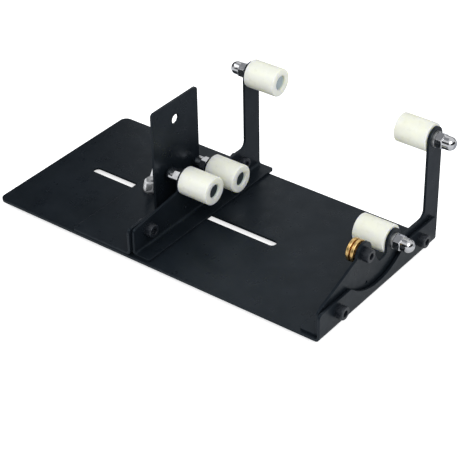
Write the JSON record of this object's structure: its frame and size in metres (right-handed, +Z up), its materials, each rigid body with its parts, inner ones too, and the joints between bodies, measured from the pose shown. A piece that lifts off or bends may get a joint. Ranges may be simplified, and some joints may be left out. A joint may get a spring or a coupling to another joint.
{
  "type": "bottle cutter",
  "caption": "Glass bottle cutting jig: slotted base, end bracket with scoring wheel, sliding roller carriage with stop plate.",
  "frame": {"origin": "middle of the base plate, on the plane of the feet's undersides", "axes": "+X along the base towards the flange and the scoring wheel, +Y to the side of the tall arms, +Z up"},
  "size_m": [0.3136, 0.1575, 0.1051],
  "materials": {
    "coated_sheet": "satin powder coat",
    "black_oxide": "black oxide",
    "zinc_plate": "zinc plated",
    "chrome": "bright plated",
    "nylon": "turned nylon",
    "gold_wheel": "gold coated",
    "rubber": "moulded"
  },
  "bodies": {
    "base": {"base_plate": "coated_sheet", "rubber_feet": "rubber", "end_bracket": "coated_sheet", "end_bracket_screws": "black_oxide", "end_bracket_spacers": "zinc_plate", "end_bracket_nuts": "black_oxide", "end_axles": "zinc_plate", "end_thrust_washers": "zinc_plate", "end_nut_washers": "zinc_plate", "end_acorn_nuts": "chrome", "cutter_screw": "black_oxide", "cutter_washer": "zinc_plate", "cutter_ring": "black_oxide"},
    "end_low_roller": {"end_low_roller": "nylon"},
    "end_tall_roller": {"end_tall_roller": "nylon"},
    "scoring_wheel": {"scoring_wheel": "gold_wheel"},
    "carriage": {"carriage_plate": "coated_sheet", "carriage_bracket": "coated_sheet", "carriage_screws": "black_oxide", "carriage_spacers": "zinc_plate", "carriage_nuts": "black_oxide", "carriage_axles": "zinc_plate", "carriage_thrust_washers": "zinc_plate", "carriage_nut_washers": "zinc_plate", "carriage_acorn_nuts": "chrome", "stop_bracket": "coated_sheet", "clamp_bolt": "zinc_plate", "clamp_washer": "zinc_plate"},
    "near_low_roller": {"near_low_roller": "nylon"},
    "far_low_roller": {"far_low_roller": "nylon"},
    "carriage_tall_roller": {"carriage_tall_roller": "nylon"},
    "wing_nut": {"wing_nut": "chrome"}
  },
  "joints": [
    {"name": "carriage_slide", "type": "slide", "parent": "base", "child": "carriage", "axis": [1, 0, 0], "range_m": [-0.053, 0.105]},
    {"name": "end_low_roller_spin", "type": "hinge", "parent": "base", "child": "end_low_roller", "pos_m": [0.1306, 0.0213, 0.0348], "axis": [1, 0, 0], "continuous": true},
    {"name": "end_tall_roller_spin", "type": "hinge", "parent": "base", "child": "end_tall_roller", "pos_m": [0.1306, 0.0715, 0.094], "axis": [1, 0, 0], "continuous": true},
    {"name": "scoring_wheel_spin", "type": "hinge", "parent": "base", "child": "scoring_wheel", "pos_m": [0.1399, -0.0173, 0.0454], "axis": [1, 0, 0], "continuous": true},
    {"name": "near_low_roller_spin", "type": "hinge", "parent": "carriage", "child": "near_low_roller", "pos_m": [-0.0009, -0.0109, 0.041], "axis": [1, 0, 0], "continuous": true},
    {"name": "far_low_roller_spin", "type": "hinge", "parent": "carriage", "child": "far_low_roller", "pos_m": [-0.0009, 0.0213, 0.0349], "axis": [1, 0, 0], "continuous": true},
    {"name": "carriage_tall_roller_spin", "type": "hinge", "parent": "carriage", "child": "carriage_tall_roller", "pos_m": [-0.0009, 0.0715, 0.0941], "axis": [1, 0, 0], "continuous": true},
    {"name": "wing_nut_turn", "type": "hinge", "parent": "carriage", "child": "wing_nut", "pos_m": [-0.06, 0, 0.015], "axis": [0, 0, 1], "continuous": true}
  ]
}
